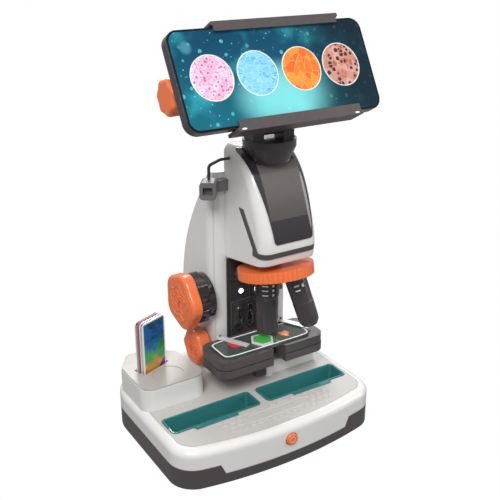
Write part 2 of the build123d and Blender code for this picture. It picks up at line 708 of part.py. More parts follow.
HINGE_LOCAL = HOLD_PLANE.to_local_coords(Vector(0, SWIVEL_Y, HINGE_Z))
with BuildPart() as holder_body:
    hold_slab(rounded_rect(JAW_X - 50, JAW_X + 50, -HALF_W - 2, 26, 6), -5, -0.2)
    hold_slab(ellipse_at(JAW_X - 4, -14, 52, 24), -16, -5)
    hold_slab(ellipse_at(JAW_X - 4, -12, 42, 20), -31, -16)
    hold_slab(rounded_rect(JAW_X - JAW_HALF, JAW_X + JAW_HALF, -HALF_W - 3.2, -HALF_W - 0.2, 1), -5, PHONE_THICK + 2.6)
    hold_slab(rounded_rect(JAW_X - JAW_HALF + 2, JAW_X + JAW_HALF - 2, -HALF_W - 3.2, -HALF_W + 5, 1),
              PHONE_THICK + 0.2, PHONE_THICK + 2.6)
    hold_slab(rounded_rect(JAW_X - 14, JAW_X + 14, -20, 28, 2), -9, -0.2, Mode.SUBTRACT)
    with Locations((BODY_X, SWIVEL_Y - 1, HINGE_Z + 6)):
        Box(17.4, 12, 12)
    with Locations(Location((BODY_X, SWIVEL_Y, HINGE_Z), (0, 90, 0))):
        Cylinder(6, 17.4)
        Cylinder(2.56, 40, mode=Mode.SUBTRACT)
    with Locations((BODY_X - 14, SWIVEL_Y, HINGE_Z - 2), (BODY_X + 14, SWIVEL_Y, HINGE_Z - 2)):
        Box(10.6, 24, 22, mode=Mode.SUBTRACT)
    revolve(cup_profile(0.5), axis=SWIVEL_AXIS, mode=Mode.SUBTRACT)
    with Locations(HOLD_PLANE.location):
        with Locations(Location((-23, 1, -26.6), (0, 90, 0))):
            Cylinder(6.5, 42)
        with Locations(Location((-27, 1, -26.6), (0, 90, 0))):
            Cylinder(3.06, 66, mode=Mode.SUBTRACT)
save(holder_body, "holder_body")

with BuildPart() as upper_jaw:
    hold_slab(rounded_rect(JAW_X - JAW_HALF, JAW_X + JAW_HALF, HALF_W + 0.2, HALF_W + 3.2, 1), -5, PHONE_THICK + 2.6)
    hold_slab(rounded_rect(JAW_X - JAW_HALF + 2, JAW_X + JAW_HALF - 2, HALF_W - 4, HALF_W + 3.2, 1),
              PHONE_THICK + 0.2, PHONE_THICK + 2.6)
    hold_slab(rounded_rect(JAW_X - 13.6, JAW_X + 13.6, -8, HALF_W + 3.2, 1), -5, -0.6)
save(upper_jaw, "upper_jaw")

with BuildPart() as tilt_knob:
    knob_end = Plane(HOLD_PLANE.location * Location((-58, 1, -26.6), (0, -90, 0)))
    disc_on(knob_end, lobed(13.8, 1.4, 7), -12, 0)
    fillet(tilt_knob.edges().group_by(Axis.X)[0], 2.5)
    disc_on(knob_end, ring(3.0), -62, -12)
save(tilt_knob, "tilt_knob")


def phone_outline(inset):
    with BuildSketch(mode=Mode.PRIVATE) as plan:
        with Locations((PHONE_X, 0)):
            RectangleRounded(PHONE_LENGTH - 2 * inset, PHONE_WIDTH - 2 * inset, 9.5 - inset)
    return plan.sketch


with BuildPart() as phone_body:
    hold_slab(phone_outline(0), 0, PHONE_THICK - 0.8)
save(phone_body, "phone_body")

with BuildPart() as phone_glass:
    hold_slab(phone_outline(0.6), PHONE_THICK - 0.8, PHONE_THICK)
save(phone_glass, "phone_glass")

# ---- lead and its parked plug -----------------------------------------------------------------
PLUG_SPOT = (-14.5, 22.5, 205)
PLUG_FACE = Plane(origin=PLUG_SPOT, x_dir=(0.8, -0.6, 0), z_dir=(-0.6, -0.8, 0))
with BuildPart() as usb_plug:
    with BuildSketch(PLUG_FACE):
        RectangleRounded(13, 14, 3)
    extrude(amount=14)
    with BuildSketch(PLUG_FACE.offset(14)):
        Rectangle(7.4, 6)
    extrude(amount=-6, mode=Mode.SUBTRACT)
save(usb_plug, "usb_plug")

with BuildPart() as plug_clip:
    with Locations((-7, 22, 205)):
        Box(14, 6, 9)
    with BuildSketch(PLUG_FACE):
        RectangleRounded(13, 14, 3)
    extrude(amount=14, mode=Mode.SUBTRACT)
save(plug_clip, "plug_clip")

LEAD_ROUTE = [(0, 17, 227), (-8, 17, 227), (-17, 19.5, 223), (-17, 19.5, 212)]
LEAD_RADIUS = 1.2
with BuildPart() as usb_lead:
    with BuildLine() as route:
        FilletPolyline(*LEAD_ROUTE, radius=4)
    with BuildSketch(Plane(origin=route.line @ 0, z_dir=route.line % 0)):
        Circle(LEAD_RADIUS)
    sweep(path=route.line)
save(usb_lead, "usb_lead")
lead_length = sum(edge.length for edge in route.edges())
print("lead length", round(lead_length, 1), "volume ratio",
      round(usb_lead.part.volume / (math.pi * LEAD_RADIUS ** 2 * lead_length), 3))
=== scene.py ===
import bpy
import math
import numpy as np
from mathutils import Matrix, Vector


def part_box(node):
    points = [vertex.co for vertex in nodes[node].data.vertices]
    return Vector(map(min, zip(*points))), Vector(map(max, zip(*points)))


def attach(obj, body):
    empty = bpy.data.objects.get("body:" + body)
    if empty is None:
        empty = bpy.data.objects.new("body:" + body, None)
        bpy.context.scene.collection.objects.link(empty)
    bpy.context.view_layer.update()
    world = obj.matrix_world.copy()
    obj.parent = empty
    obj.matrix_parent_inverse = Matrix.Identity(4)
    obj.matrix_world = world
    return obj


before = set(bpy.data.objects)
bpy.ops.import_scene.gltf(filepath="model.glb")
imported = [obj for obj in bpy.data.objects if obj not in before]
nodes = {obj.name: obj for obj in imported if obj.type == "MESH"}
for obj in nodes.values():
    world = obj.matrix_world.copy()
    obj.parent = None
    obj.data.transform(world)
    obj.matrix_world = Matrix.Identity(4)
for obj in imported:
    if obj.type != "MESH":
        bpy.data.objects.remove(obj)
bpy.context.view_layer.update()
scene = bpy.context.scene
mm = 0.001

# Toy microscope with a tray base and a telephone clamp. Lengths in the dictionaries are millimetres.

print("stage: shared shader groups")


def newGroup(name, inputs, outputs):
    group = bpy.data.node_groups.new(name, "ShaderNodeTree")
    for label, kind, value in inputs:
        socket = group.interface.new_socket(name=label, in_out="INPUT", socket_type=kind)
        if value is not None:
            socket.default_value = value
    for label, kind in outputs:
        group.interface.new_socket(name=label, in_out="OUTPUT", socket_type=kind)
    start = group.nodes.new("NodeGroupInput")
    end = group.nodes.new("NodeGroupOutput")
    return group, start, end


def mixColour(tree, factor, first, second, blend="MIX"):
    node = tree.nodes.new("ShaderNodeMix")
    node.data_type = "RGBA"
    node.blend_type = blend
    for index, value in ((0, factor), (6, first), (7, second)):
        if isinstance(value, bpy.types.NodeSocket):
            tree.links.new(value, node.inputs[index])
        elif index == 0:
            node.inputs[0].default_value = value
        else:
            node.inputs[index].default_value = (*value, 1.0)
    return node.outputs[2]


def math2(tree, operation, first, second=0.0, clamp=False):
    node = tree.nodes.new("ShaderNodeMath")
    node.operation = operation
    node.use_clamp = clamp
    for index, value in ((0, first), (1, second)):
        if isinstance(value, bpy.types.NodeSocket):
            tree.links.new(value, node.inputs[index])
        else:
            node.inputs[index].default_value = value
    return node.outputs[0]


def ramp(tree, value, low, high, outLow=0.0, outHigh=1.0):
    node = tree.nodes.new("ShaderNodeMapRange")
    node.interpolation_type = "SMOOTHSTEP"
    tree.links.new(value, node.inputs["Value"])
    node.inputs["From Min"].default_value = low
    node.inputs["From Max"].default_value = high
    node.inputs["To Min"].default_value = outLow
    node.inputs["To Max"].default_value = outHigh
    return node.outputs[0]


def makeGrain():
    group, start, end = newGroup(
        "mouldGrain",
        [("Colour", "NodeSocketColor", (0.8, 0.8, 0.8, 1)), ("Spread", "NodeSocketFloat", 0.06),
         ("Roughness", "NodeSocketFloat", 0.4), ("Scale", "NodeSocketFloat", 1500.0),
         ("Bump", "NodeSocketFloat", 0.05), ("Edge", "NodeSocketFloat", 0.0005)],
        [("Colour", "NodeSocketColor"), ("Roughness", "NodeSocketFloat"), ("Normal", "NodeSocketVector")])
    place = group.nodes.new("ShaderNodeTexCoord")
    broad = group.nodes.new("ShaderNodeTexNoise")
    broad.inputs["Scale"].default_value = 22.0
    broad.inputs["Detail"].default_value = 4.0
    fine = group.nodes.new("ShaderNodeTexNoise")
    fine.inputs["Detail"].default_value = 3.0
    for node in (broad, fine):
        group.links.new(place.outputs["Object"], node.inputs["Vector"])
    group.links.new(start.outputs["Scale"], fine.inputs["Scale"])
    swing = math2(group, "SUBTRACT", broad.outputs[0], 0.5)
    swing = math2(group, "MULTIPLY", swing, start.outputs["Spread"])
    shade = math2(group, "ADD", swing, 1.0)
    scaled = group.nodes.new("ShaderNodeVectorMath")
    scaled.operation = "SCALE"
    group.links.new(start.outputs["Colour"], scaled.inputs[0])
    group.links.new(shade, scaled.inputs["Scale"])
    group.links.new(scaled.outputs[0], end.inputs["Colour"])
    rougher = math2(group, "MULTIPLY", swing, 1.4)
    rough = math2(group, "ADD", start.outputs["Roughness"], rougher, clamp=True)
    group.links.new(rough, end.inputs["Roughness"])
    bevel = group.nodes.new("ShaderNodeBevel")
    bevel.samples = 4
    group.links.new(start.outputs["Edge"], bevel.inputs["Radius"])
    bump = group.nodes.new("ShaderNodeBump")
    bump.inputs["Distance"].default_value = 0.0002
    group.links.new(start.outputs["Bump"], bump.inputs["Strength"])
    group.links.new(fine.outputs[0], bump.inputs["Height"])
    group.links.new(bevel.outputs[0], bump.inputs["Normal"])
    group.links.new(bump.outputs[0], end.inputs["Normal"])
    return group


def makeDust():
    group, start, end = newGroup(
        "restingDust",
        [("Colour", "NodeSocketColor", (0.8, 0.8, 0.8, 1)), ("Amount", "NodeSocketFloat", 0.04),
         ("Dust", "NodeSocketColor", (0.75, 0.73, 0.70, 1))],
        [("Colour", "NodeSocketColor")])
    facing = group.nodes.new("ShaderNodeNewGeometry")
    split = group.nodes.new("ShaderNodeSeparateXYZ")
    group.links.new(facing.outputs["Normal"], split.inputs[0])
    place = group.nodes.new("ShaderNodeTexCoord")
    noise = group.nodes.new("ShaderNodeTexNoise")
    noise.inputs["Scale"].default_value = 160.0
    group.links.new(place.outputs["Object"], noise.inputs["Vector"])
    upward = ramp(group, split.outputs["Z"], 0.3, 1.0)
    patchy = ramp(group, noise.outputs[0], 0.35, 0.75)
    weight = math2(group, "MULTIPLY", upward, patchy)
    weight = math2(group, "MULTIPLY", weight, start.outputs["Amount"])
    group.links.new(mixColour(group, weight, start.outputs["Colour"], start.outputs["Dust"]), end.inputs["Colour"])
    return group


grainGroup = makeGrain()
dustGroup = makeDust()


def newMaterial(name, rough=0.4, coat=0.0, transmission=0.0, glow=0.0, metal=0.0, spread=0.08, scale=1500.0,
                bump=0.04, dust=0.03, edge=0.0005, ior=1.47, colour=None, picture=None):
    # Principled shader fed by the grain and dust groups; picture builds a colour socket in place of colour.
    material = bpy.data.materials.new(name)
    material.use_nodes = True
    tree = material.node_tree
    tree.nodes.clear()
    output = tree.nodes.new("ShaderNodeOutputMaterial")
    shader = tree.nodes.new("ShaderNodeBsdfPrincipled")
    tree.links.new(shader.outputs[0], output.inputs[0])
    grain = tree.nodes.new("ShaderNodeGroup")
    grain.node_tree = grainGroup
    for label, value in (("Spread", spread), ("Roughness", rough), ("Scale", scale), ("Bump", bump), ("Edge", edge)):
        grain.inputs[label].default_value = value
    veil = tree.nodes.new("ShaderNodeGroup")
    veil.node_tree = dustGroup
    veil.inputs["Amount"].default_value = dust
    if picture is None:
        grain.inputs["Colour"].default_value = (*colour, 1.0)
    else:
        tree.links.new(picture(tree), grain.inputs["Colour"])
    tree.links.new(grain.outputs["Colour"], veil.inputs["Colour"])
    tree.links.new(veil.outputs[0], shader.inputs["Base Color"])
    tree.links.new(grain.outputs["Roughness"], shader.inputs["Roughness"])
    tree.links.new(grain.outputs["Normal"], shader.inputs["Normal"])
    if glow:
        tree.links.new(grain.outputs["Colour"], shader.inputs["Emission Color"])
        shader.inputs["Emission Strength"].default_value = glow
    shader.inputs["Metallic"].default_value = metal
    shader.inputs["IOR"].default_value = ior
    shader.inputs["Coat Weight"].default_value = coat
    shader.inputs["Coat Roughness"].default_value = 0.08
    shader.inputs["Transmission Weight"].default_value = transmission
    return material


print("stage: plain materials")
charcoal = newMaterial("charcoal", rough=0.38, coat=0.15, colour=(0.074, 0.060, 0.063), bump=0.10, dust=0.05)
charcoalGloss = newMaterial("charcoalGloss", rough=0.24, coat=0.5, colour=(0.045, 0.038, 0.042))
white = newMaterial("whiteShell", rough=0.30, coat=0.35, colour=(0.74, 0.735, 0.715), spread=0.05, edge=0.0012)
deckGrey = newMaterial("deckGrey", rough=0.5, colour=(0.50, 0.485, 0.46), bump=0.12)
lidGrey = newMaterial("lidGrey", rough=0.42, coat=0.1, colour=(0.43, 0.41, 0.385), bump=0.08)
orange = newMaterial("orangePlastic", rough=0.30, coat=0.4, colour=(0.88, 0.185, 0.050), spread=0.10, edge=0.0012)
glossBlack = newMaterial("glossBlack", rough=0.14, coat=0.8, colour=(0.014, 0.012, 0.014), edge=0.0010)
teal = newMaterial("tealClear", rough=0.12, coat=0.5, transmission=0.60, colour=(0.09, 0.46, 0.46), edge=0.0008)
tealDark = newMaterial("tealTab", rough=0.2, coat=0.4, colour=(0.02, 0.16, 0.18))
stageGlass = newMaterial("stageGlass", rough=0.05, transmission=0.9, colour=(0.66, 0.90, 0.74), bump=0.01, edge=0.0003)
whitePaint = newMaterial("whitePaint", rough=0.5, colour=(0.86, 0.86, 0.85), bump=0.05, edge=0.0001)
clipSilver = newMaterial("clipSilver", rough=0.38, coat=0.2, metal=0.35, colour=(0.80, 0.80, 0.79), edge=0.0002)
ringOrange = newMaterial("ringOrange", rough=0.35, coat=0.2, colour=(0.95, 0.45, 0.26), edge=0.0001)
chrome = newMaterial("brightSteel", rough=0.14, metal=1.0, colour=(0.80, 0.80, 0.82), edge=0.0002)
rubber = newMaterial("footRubber", rough=0.75, colour=(0.03, 0.03, 0.03), bump=0.3)
cardBack = newMaterial("cardStock", rough=0.45, colour=(0.50, 0.22, 0.24))
boardGreen = newMaterial("boardGreen", rough=0.4, colour=(0.02, 0.14, 0.05))
cellJacket = newMaterial("cellJacket", rough=0.3, coat=0.3, colour=(0.05, 0.07, 0.14))
redPlastic = newMaterial("redPlastic", rough=0.3, coat=0.4, colour=(0.62, 0.02, 0.03))
greenPlastic = newMaterial("greenPlastic", rough=0.3, coat=0.4, colour=(0.06, 0.46, 0.07), edge=0.0002)
chipOrange = newMaterial("chipOrange", rough=0.35, coat=0.3, colour=(0.85, 0.24, 0.05), edge=0.0002)
plugGrey = newMaterial("plugGrey", rough=0.45, colour=(0.17, 0.16, 0.165))
cableGrey = newMaterial("cableSheath", rough=0.5, colour=(0.05, 0.045, 0.05), bump=0.15)
lampGlow = newMaterial("lampGlow", rough=0.2, glow=9.0, colour=(0.95, 0.97, 1.0))
lensClear = newMaterial("lensClear", rough=0.08, transmission=0.6, glow=0.5, colour=(0.95, 0.96, 0.92))
phoneCase = newMaterial("phoneCase", rough=0.22, coat=0.5, colour=(0.035, 0.035, 0.045))

print("stage: picture materials")
hold = {"tilt": math.radians(29), "x": 20.0, "y": -19 + 4.2 * math.cos(math.radians(29)),
        "z": 295.5 - 4.2 * math.sin(math.radians(29)), "length": 167.0, "width": 73.0, "thick": 8.4}
cardFrame = {"x": -68.0, "y": 37.0, "turn": math.radians(21), "bottom": 37.0, "height": 62.0}


def localPlace(tree, rotation, location):
    # Object coordinates turned and moved so that a face lies in a plane of its own.
    place = tree.nodes.new("ShaderNodeTexCoord")
    mapping = tree.nodes.new("ShaderNodeMapping")
    mapping.inputs["Rotation"].default_value = rotation
    mapping.inputs["Location"].default_value = location
    tree.links.new(place.outputs["Object"], mapping.inputs["Vector"])
    split = tree.nodes.new("ShaderNodeSeparateXYZ")
    tree.links.new(mapping.outputs[0], split.inputs[0])
    return mapping.outputs[0], split.outputs


def voronoi(tree, vector, scale, feature="F1"):
    node = tree.nodes.new("ShaderNodeTexVoronoi")
    node.feature = feature
    node.inputs["Scale"].default_value = scale
    tree.links.new(vector, node.inputs["Vector"])
    return node


def boxMask(tree, first, halfFirst, second, halfSecond, soft):
    # One inside a rectangle centred on zero, falling to none over the soft width.
    inFirst = ramp(tree, math2(tree, "ABSOLUTE", first), halfFirst - soft, halfFirst, 1.0, 0.0)
    inSecond = ramp(tree, math2(tree, "ABSOLUTE", second), halfSecond - soft, halfSecond, 1.0, 0.0)
    return math2(tree, "MULTIPLY", inFirst, inSecond)


def screenPicture(tree):
    tilt = hold["tilt"]
    up0 = math.sin(tilt) * hold["y"] + math.cos(tilt) * hold["z"]
    vector, axes = localPlace(tree, (tilt - math.pi / 2, 0, 0), (-hold["x"] * mm, -up0 * mm, 0))
    across = ramp(tree, axes[0], -0.085, 0.085)
    upward = ramp(tree, axes[1], -0.036, 0.036)
    noise = tree.nodes.new("ShaderNodeTexNoise")
    noise.inputs["Scale"].default_value = 30.0
    noise.inputs["Detail"].default_value = 6.0
    tree.links.new(vector, noise.inputs["Vector"])
    base = mixColour(tree, upward, (0.006, 0.10, 0.14), (0.003, 0.045, 0.09))
    cloud = ramp(tree, noise.outputs[0], 0.46, 0.74, 0.0, 0.7)
    base = mixColour(tree, cloud, base, (0.03, 0.34, 0.40))
    shineAcross = math2(tree, "POWER", math2(tree, "MULTIPLY", axes[0], 26.0), 2.0)
    shineUp = math2(tree, "POWER", math2(tree, "MULTIPLY", math2(tree, "ADD", axes[1], 0.018), 42.0), 2.0)
    shine = ramp(tree, math2(tree, "ADD", shineAcross, shineUp), 0.0, 1.6, 0.75, 0.0)
    base = mixColour(tree, shine, base, (0.20, 0.62, 0.62))
    for scale, reach, strength in ((60.0, 0.40, 0.22), (150.0, 0.28, 0.40), (330.0, 0.22, 0.55)):
        bubbles = voronoi(tree, vector, scale)
        spot = ramp(tree, bubbles.outputs["Distance"], reach * 0.6, reach, strength, 0.0)
        split = tree.nodes.new("ShaderNodeSeparateColor")
        tree.links.new(bubbles.outputs["Color"], split.inputs[0])
        chosen = ramp(tree, split.outputs[0], 0.66, 0.76)
        base = mixColour(tree, math2(tree, "MULTIPLY", spot, chosen), base, (0.16, 0.62, 0.72))
    night = ramp(tree, across, 0.58, 1.0)
    base = mixColour(tree, math2(tree, "MULTIPLY", night, 0.93), base, (0.004, 0.012, 0.020))
    corner = 0.0075
    overX = math2(tree, "MAXIMUM", math2(tree, "SUBTRACT", math2(tree, "ABSOLUTE", axes[0]), 0.0818 - corner), 0.0)
    overY = math2(tree, "MAXIMUM", math2(tree, "SUBTRACT", math2(tree, "ABSOLUTE", axes[1]), 0.0348 - corner), 0.0)
    reach = math2(tree, "SQRT", math2(tree, "ADD", math2(tree, "POWER", overX, 2.0), math2(tree, "POWER", overY, 2.0)))
    inside = ramp(tree, reach, corner - 0.0003, corner, 1.0, 0.0)
    return mixColour(tree, inside, (0.006, 0.006, 0.008), base)


def cellPicture(cell, second, line, scale, stretch, lineWidth, spots=0.0, core=(0.1, 0.02, 0.02),
                coreReach=0.30):
    # Cells split by bright walls, with an optional dark nucleus in each.
    def build(tree):
        tilt = hold["tilt"]
        vector, axes = localPlace(tree, (tilt - math.pi / 2, 0, 0), (0, 0, 0))
        squeeze = tree.nodes.new("ShaderNodeVectorMath")
        squeeze.operation = "MULTIPLY"
        squeeze.inputs[1].default_value = (stretch, 1.0, 0.0)
        tree.links.new(vector, squeeze.inputs[0])
        cells = voronoi(tree, squeeze.outputs[0], scale)
        walls = voronoi(tree, squeeze.outputs[0], scale, "DISTANCE_TO_EDGE")
        split = tree.nodes.new("ShaderNodeSeparateColor")
        tree.links.new(cells.outputs["Color"], split.inputs[0])
        body = mixColour(tree, split.outputs[0], cell, second)
        nucleus = ramp(tree, cells.outputs["Distance"], coreReach - 0.08, coreReach, spots, 0.0)
        body = mixColour(tree, nucleus, body, core)
        wall = ramp(tree, walls.outputs["Distance"], lineWidth * 0.5, lineWidth, 1.0, 0.0)
        return mixColour(tree, wall, body, line)
    return build


def cardPicture(first, second, third, scale):
    # White-bordered print with patches of colour and a purple corner.
    def build(tree):
        turn = cardFrame["turn"]
        moveX = -(math.cos(turn) * cardFrame["x"] + math.sin(turn) * cardFrame["y"])
        moveY = -(-math.sin(turn) * cardFrame["x"] + math.cos(turn) * cardFrame["y"])
        vector, axes = localPlace(tree, (0, 0, -turn), (moveX * mm, moveY * mm, 0))
        middle = (cardFrame["bottom"] + cardFrame["height"] / 2) * mm
        height = math2(tree, "SUBTRACT", axes[2], middle)
        noise = tree.nodes.new("ShaderNodeTexNoise")
        noise.inputs["Scale"].default_value = scale
        noise.inputs["Detail"].default_value = 7.0
        tree.links.new(vector, noise.inputs["Vector"])
        level = math2(tree, "ADD", ramp(tree, height, -0.030, 0.030), math2(tree, "SUBTRACT", noise.outputs[0], 0.5))
        body = mixColour(tree, ramp(tree, level, 0.30, 0.52), third, second)
        body = mixColour(tree, ramp(tree, level, 0.55, 0.80), body, first)
        dark = ramp(tree, noise.outputs[0], 0.36, 0.50, 0.75, 0.0)
        body = mixColour(tree, dark, body, (0.01, 0.03, 0.02))
        slope = math2(tree, "SUBTRACT", axes[0], height)
        body = mixColour(tree, ramp(tree, slope, 0.0185, 0.0188), body, (0.14, 0.05, 0.30))
        inside = boxMask(tree, axes[0], 0.0118, height, 0.0298, 0.0003)
        return mixColour(tree, inside, (0.86, 0.86, 0.86), body)
    return build


def windowPicture(tree):
    # Dark gloss with a paler pane over its upper part.
    vector, axes = localPlace(tree, (0, 0, 0), (-0.0275, 0, -0.206))
    inside = boxMask(tree, axes[0], 0.0185, axes[2], 0.0205, 0.0012)
    fade = ramp(tree, axes[2], -0.020, 0.016, 0.45, 1.0)
    return mixColour(tree, math2(tree, "MULTIPLY", inside, fade), (0.030, 0.024, 0.028), (0.15, 0.128, 0.125))


screenLit = newMaterial("screenLit", rough=0.16, coat=0.05, ior=1.22, glow=0.40, picture=screenPicture, bump=0.0, dust=0.01)
pinkCells = newMaterial("pinkCells", rough=0.2, coat=0.3, glow=0.22, dust=0.0, spread=0.3, edge=0.0001,
                        picture=cellPicture((0.78, 0.40, 0.55), (0.85, 0.60, 0.70), (0.62, 0.16, 0.38), 260, 1.0, 0.05,
                                            0.8, (0.35, 0.02, 0.18)))
blueCells = newMaterial("blueCells", rough=0.2, coat=0.3, glow=0.22, dust=0.0, spread=0.3, edge=0.0001,
                        picture=cellPicture((0.10, 0.38, 0.62), (0.22, 0.54, 0.76), (0.34, 0.62, 0.80), 430, 0.45, 0.05))
orangeShards = newMaterial("orangeShards", rough=0.2, coat=0.3, glow=0.22, dust=0.0, spread=0.5, edge=0.0001,
                           picture=cellPicture((0.72, 0.10, 0.01), (0.85, 0.27, 0.03), (0.90, 0.40, 0.10), 110, 1.5,
                                               0.02))
brownSpots = newMaterial("brownSpots", rough=0.2, coat=0.3, glow=0.20, dust=0.0, spread=0.5, edge=0.0001,
                         picture=cellPicture((0.34, 0.10, 0.06), (0.58, 0.32, 0.27), (0.50, 0.22, 0.16), 190, 1.0, 0.06,
                                             1.0, (0.06, 0.012, 0.008), 0.38))
cardFront = newMaterial("cardFront", rough=0.25, coat=0.4, dust=0.0, edge=0.0001,
                        picture=cardPicture((0.01, 0.14, 0.42), (0.05, 0.36, 0.10), (0.75, 0.30, 0.04), 90))
cardSecond = newMaterial("cardSecond", rough=0.25, coat=0.4, dust=0.0, edge=0.0001,
                         picture=cardPicture((0.55, 0.10, 0.16), (0.75, 0.35, 0.10), (0.15, 0.10, 0.35), 90))
windowGloss = newMaterial("windowGloss", rough=0.13, coat=0.7, picture=windowPicture, bump=0.01)

print("stage: dress the CAD nodes")
dress = {
    "charcoal": ["base_skirt", "battery_door", "battery_box", "stage_top", "holder_body", "upper_jaw", "head_band",
                 "turret_spindle", "camera_tube", "lamp_pod", "focus_rack", "focus_pinion", "column_rail"],
    "gloss": ["column_panel", "stage_carriage", "objective_near", "objective_wide", "swivel_cup"],
    "white": ["base_shell", "card_box", "arm_left_shell", "arm_right_shell", "light_block", "head_shell",
              "specimen_hex"],
    "orange": ["power_button", "focus_cap", "fine_knob", "turret_disc", "tilt_knob"],
    "steel": ["base_screws", "carriage_screws", "clip_pins", "focus_shaft"],
}
finishes = {"charcoal": charcoal, "gloss": charcoalGloss, "white": white, "orange": orange, "steel": chrome}
single = {
    "deck_plate": deckGrey, "card_box_lid": lidGrey, "tray_left": teal, "tray_right": teal,
    "focus_drum": glossBlack, "head_window": windowGloss, "stage_glass": stageGlass, "lamp_lens": lampGlow,
    "light_lens": lensClear, "rubber_feet": rubber, "card_1": cardFront, "card_2": cardSecond,
    "card_3": cardBack, "card_4": cardFront, "specimen_disc": redPlastic, "circuit_board": boardGreen,
    "battery_cells": cellJacket, "phone_body": phoneCase, "phone_glass": screenLit, "usb_plug": plugGrey,
    "clip_left": clipSilver, "clip_right": clipSilver, "plug_clip": plugGrey, "usb_lead": cableGrey,
}


def dressNode(name, material):
    mesh = nodes[name].data
    mesh.materials.clear()
    mesh.materials.append(material)


for finishName, members in dress.items():
    for member in members:
        dressNode(member, finishes[finishName])
for member, finish in single.items():
    dressNode(member, finish)
undressed = sorted(set(nodes) - set(single) - set(sum(dress.values(), [])))
print("undressed nodes:", undressed)

print("stage: surface helpers")


def gridFaces(rows, columns, wrapRows=False, wrapColumns=False):
    row, column = np.meshgrid(np.arange(rows if wrapRows else rows - 1),
                              np.arange(columns if wrapColumns else columns - 1), indexing="ij")
    nextRow = (row + 1) % rows
    nextColumn = (column + 1) % columns
    corners = [row * columns + column, nextRow * columns + column,
               nextRow * columns + nextColumn, row * columns + nextColumn]
    return np.stack(corners, axis=-1).reshape(-1, 4)


def addPiece(name, points, faces, material, body, outward=None):
    # Mesh object in the row frame; faces are turned to look along outward, or out of a closed form.
    points = np.asarray(points, float) * mm
    first = np.array([face[:3] for face in faces])
    a, b, c = points[first[:, 0]], points[first[:, 1]], points[first[:, 2]]
    normals = np.cross(b - a, c - a)
    if outward is None:
        outside = np.einsum("ij,ij->i", (a + b + c) / 3 - points.mean(axis=0), normals).sum()
    else:
        outside = normals.sum(axis=0) @ np.asarray(outward, float)
    if outside < 0:
        faces = [face[::-1] for face in faces]
    mesh = bpy.data.meshes.new(name)
    mesh.from_pydata(points.tolist(), [], [list(map(int, face)) for face in faces])
    mesh.polygons.foreach_set("use_smooth", [True] * len(mesh.polygons))
    mesh.materials.append(material)
    mesh.update()
    piece = bpy.data.objects.new(name, mesh)
    scene.collection.objects.link(piece)
    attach(piece, body)
    return piece


def addDisc(name, place, radii, heights, material, body, outward, spokes=96, outline=None):
    # Rings round a pole: place turns local (side, up, out) arrays into the row frame.
    angle = np.linspace(0, 2 * np.pi, spokes, endpoint=False)
    reach = np.ones_like(angle) if outline is None else outline(angle)
    ring = np.asarray(radii)[:, None]
    side = ring * reach * np.cos(angle)
    up = ring * reach * np.sin(angle)
    out = heights(ring * np.ones_like(angle), angle + 0 * ring)
    grid = np.stack(place(side.ravel(), up.ravel(), out.ravel()), axis=-1)
    pole = np.array(place(np.zeros(1), np.zeros(1), heights(np.zeros((1, 1)), np.zeros((1, 1))).ravel())).reshape(1, 3)
    quads = gridFaces(len(radii), spokes, False, True) + 1
    spoke = np.arange(spokes)
    fan = np.stack([np.zeros(spokes, int), 1 + spoke, 1 + (spoke + 1) % spokes], axis=-1)
    return addPiece(name, np.concatenate([pole, grid]), fan.tolist() + quads.tolist(), material, body, outward)


def addLoop(name, place, path, tube, material, body, flat=1.0, steps=160, sides=10):
    # Closed tube: path gives (side, up) round a loop, and the section is an ellipse standing out from it.
    along = np.linspace(0, 2 * np.pi, steps, endpoint=False)
    round_ = np.linspace(0, 2 * np.pi, sides, endpoint=False)
    side, up = path(along)
    stepSide = np.roll(side, -1) - np.roll(side, 1)
    stepUp = np.roll(up, -1) - np.roll(up, 1)
    size = np.hypot(stepSide, stepUp)
    awaySide, awayUp = (stepUp / size)[:, None], (-stepSide / size)[:, None]
    wide = tube * np.cos(round_)
    tall = tube * flat * np.sin(round_)
    points = place((side[:, None] + awaySide * wide).ravel(), (up[:, None] + awayUp * wide).ravel(),
                   (0 * side[:, None] + tall).ravel())
    faces = gridFaces(steps, sides, True, True)
    piece = addPiece(name, np.stack(points, axis=-1), faces.tolist(), material, body)
    mesh = piece.data
    middle = np.mean(np.stack(points, axis=-1), axis=0) * mm
    return piece, mesh, middle


def circle(radius):
    return lambda t: (radius * np.cos(t), radius * np.sin(t))


def superRect(halfSide, halfUp, power):
    def path(t):
        c, s = np.cos(t), np.sin(t)
        return (halfSide * np.sign(c) * np.abs(c) ** (2 / power), halfUp * np.sign(s) * np.abs(s) ** (2 / power))
    return path


def onTop(x0, y0, z0):
    return lambda side, up, out: (x0 + side, y0 + up, z0 + out)


def onLeft(x0, y0, z0):
    return lambda side, up, out: (x0 - out, y0 - side, z0 + up)


def onFront(x0, y0, z0):
    return lambda side, up, out: (x0 + side, y0 - out, z0 + up)


def onScreen(x0, up0, out0):
    sine, cosine = math.sin(hold["tilt"]), math.cos(hold["tilt"])

    def place(side, up, out):
        level, depth = up0 + up, out0 + out
        return (x0 + side, hold["y"] + level * sine - depth * cosine, hold["z"] + level * cosine + depth * sine)
    return place


screenOut = (0, -math.cos(hold["tilt"]), math.sin(hold["tilt"]))

print("stage: deck relief")
relief = {"halfX": 56.0, "front": -62.0, "rear": -40.0, "z": 34.0, "pitch": 6.4, "line": 2.55, "height": 0.55}
# Height field: ridges on the outlines of hexagonal cells, some cells left out by a fixed wave of their place,
# and a raised capsule outline in the middle; the border dips under the deck.
xs = np.linspace(-relief["halfX"], relief["halfX"], 380)[:, None] + np.zeros((1, 80))
ys = np.linspace(relief["front"], relief["rear"], 80)[None, :] + np.zeros((380, 1))
rowStep = relief["pitch"] * math.sqrt(3) / 2


